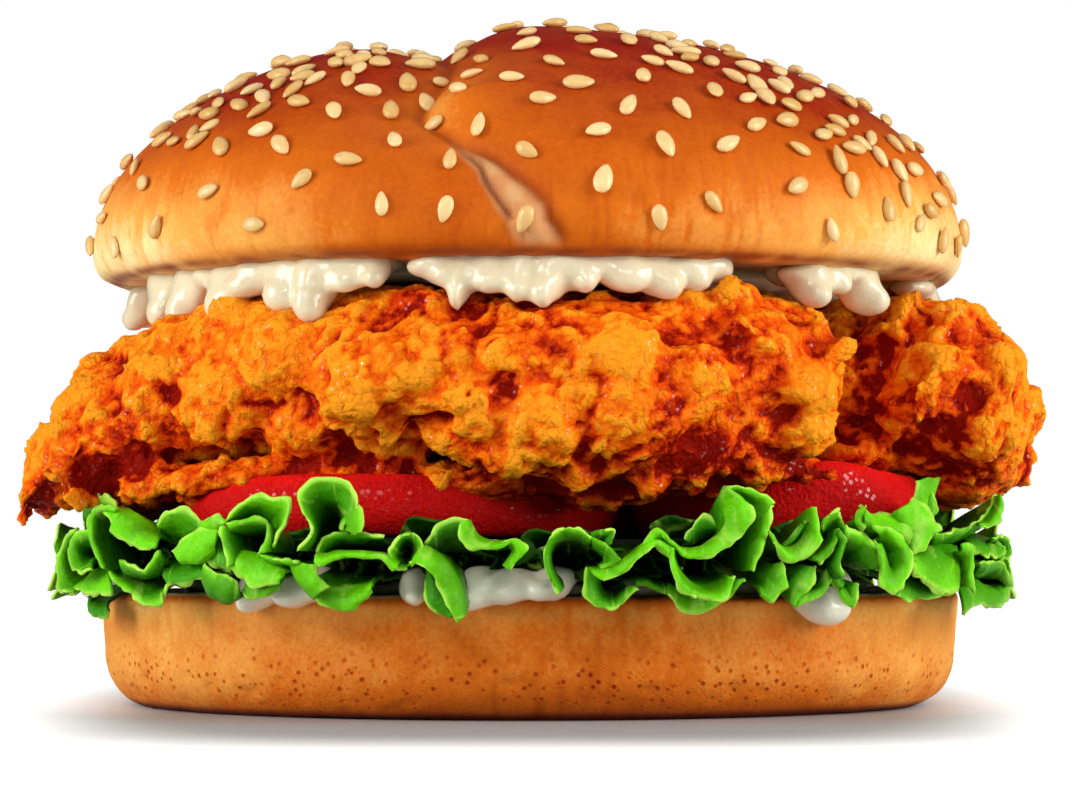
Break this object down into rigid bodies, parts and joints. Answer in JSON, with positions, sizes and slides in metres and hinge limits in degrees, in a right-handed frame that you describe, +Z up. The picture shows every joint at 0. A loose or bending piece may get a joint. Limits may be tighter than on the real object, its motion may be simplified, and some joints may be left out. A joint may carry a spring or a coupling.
{
  "type": "chicken burger",
  "caption": "Fried chicken burger in a split-top bun: heel, sauce, frilled lettuce, tomato slices, two craggy fillets, sauce and crown.",
  "frame": {"origin": "middle of the whole burger's base, on the surface it stands on", "axes": "+Z up through the bun, -Y to the front that shows the crease and the fillets, +X to the right seen from the front"},
  "size_m": [0.1186, 0.1126, 0.08],
  "materials": {
    "bun_crust": "satin golden-brown baked crust, paler at the lip",
    "bun_heel": "matt golden-tan baked crumb with fine pores",
    "chicken": "rough fried crust with a thin film of oil",
    "tomato": "wet and glossy",
    "lettuce": "waxy satin leaf, paler at the edge",
    "sauce": "glossy thick white sauce"
  },
  "bodies": {
    "root": {"bun_heel": "bun_heel", "sauce_lower": "sauce", "lettuce": "lettuce", "tomato_left": "tomato", "tomato_middle": "tomato", "tomato_right": "tomato", "chicken_large": "chicken", "chicken_small": "chicken", "sauce_upper": "sauce", "bun_crown": "bun_crust"}
  },
  "joints": []
}
